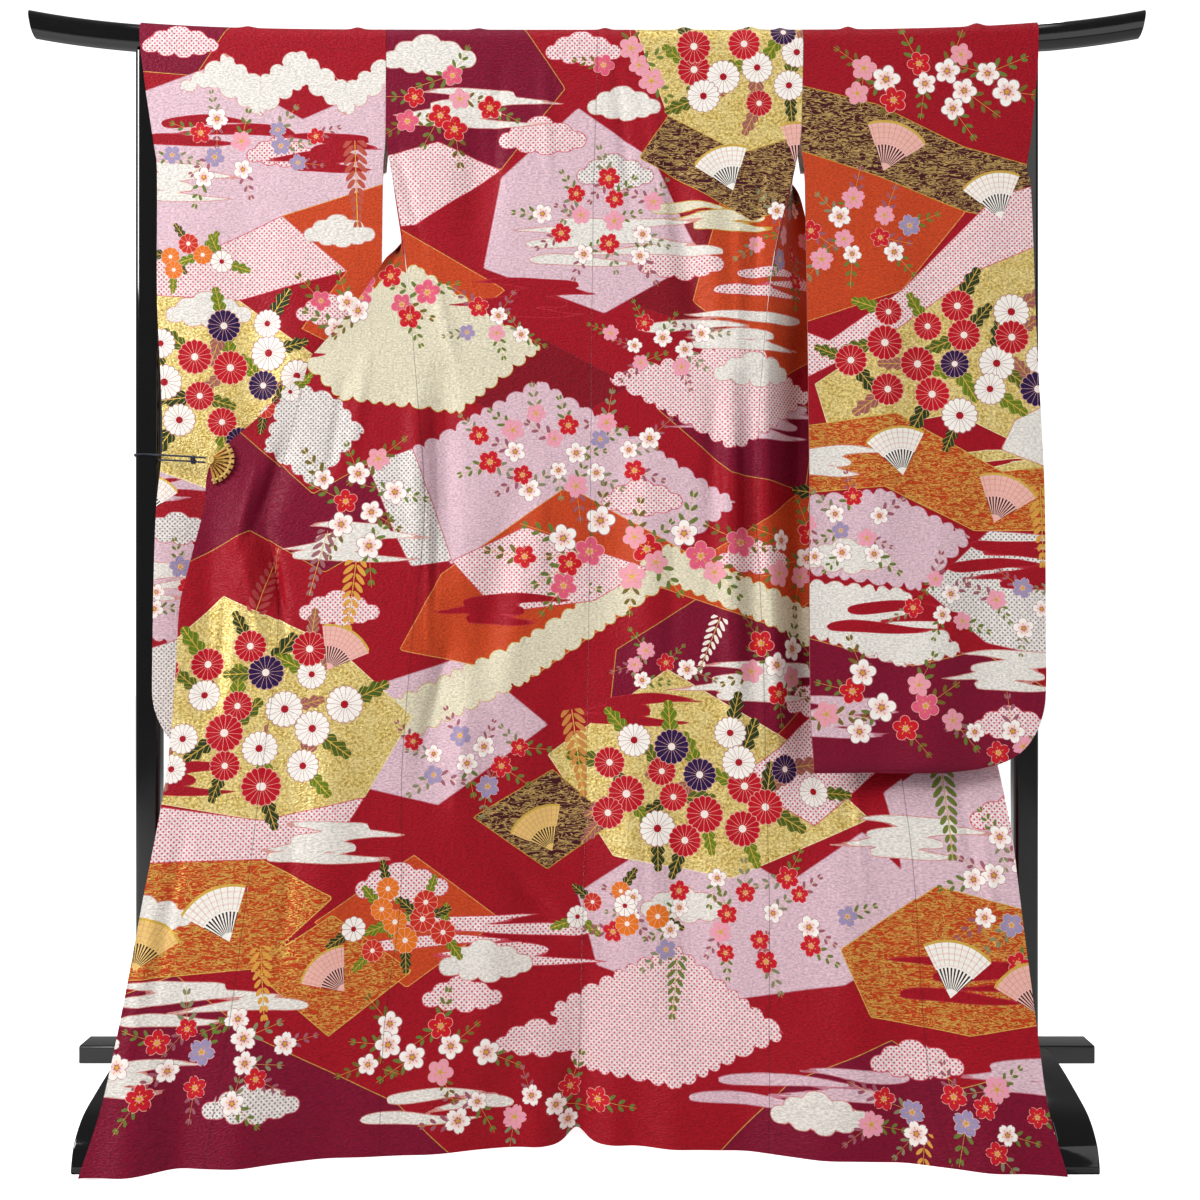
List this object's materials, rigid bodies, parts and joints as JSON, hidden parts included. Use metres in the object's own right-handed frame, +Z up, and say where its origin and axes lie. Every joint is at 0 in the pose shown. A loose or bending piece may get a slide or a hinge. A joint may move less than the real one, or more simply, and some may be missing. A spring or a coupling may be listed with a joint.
{
  "type": "furisode kimono on a kimono stand",
  "caption": "Long-sleeved silk furisode kimono hung open, back outwards, over the bar of a free-standing lacquered kimono stand.",
  "frame": {"origin": "on the floor, in the middle of the outline of the stand and the cloth", "axes": "+X along the bar, to the right as seen from the side that the kimono's back faces; -Y towards that viewer; +Z up"},
  "size_m": [1.548, 0.507, 1.5265],
  "materials": {
    "silk": "dyed silk with a woven ground, lined",
    "lacquer": "polished black lacquer",
    "gold_metal": "polished gold",
    "cord": "navy twisted cord"
  },
  "bodies": {
    "root": {"back_left": "silk", "back_right": "silk", "front_left": "silk", "front_right": "silk", "okumi_left": "silk", "okumi_right": "silk", "sleeve_left": "silk", "sleeve_right": "silk", "collar_neck": "silk", "collar_left": "silk", "collar_right": "silk", "top_bar": "lacquer", "lower_rail": "lacquer", "post_left": "lacquer", "post_right": "lacquer", "foot_left": "lacquer", "foot_right": "lacquer", "clip_jaws": "gold_metal", "clip_fan": "gold_metal", "clip_cord": "cord"}
  },
  "joints": []
}
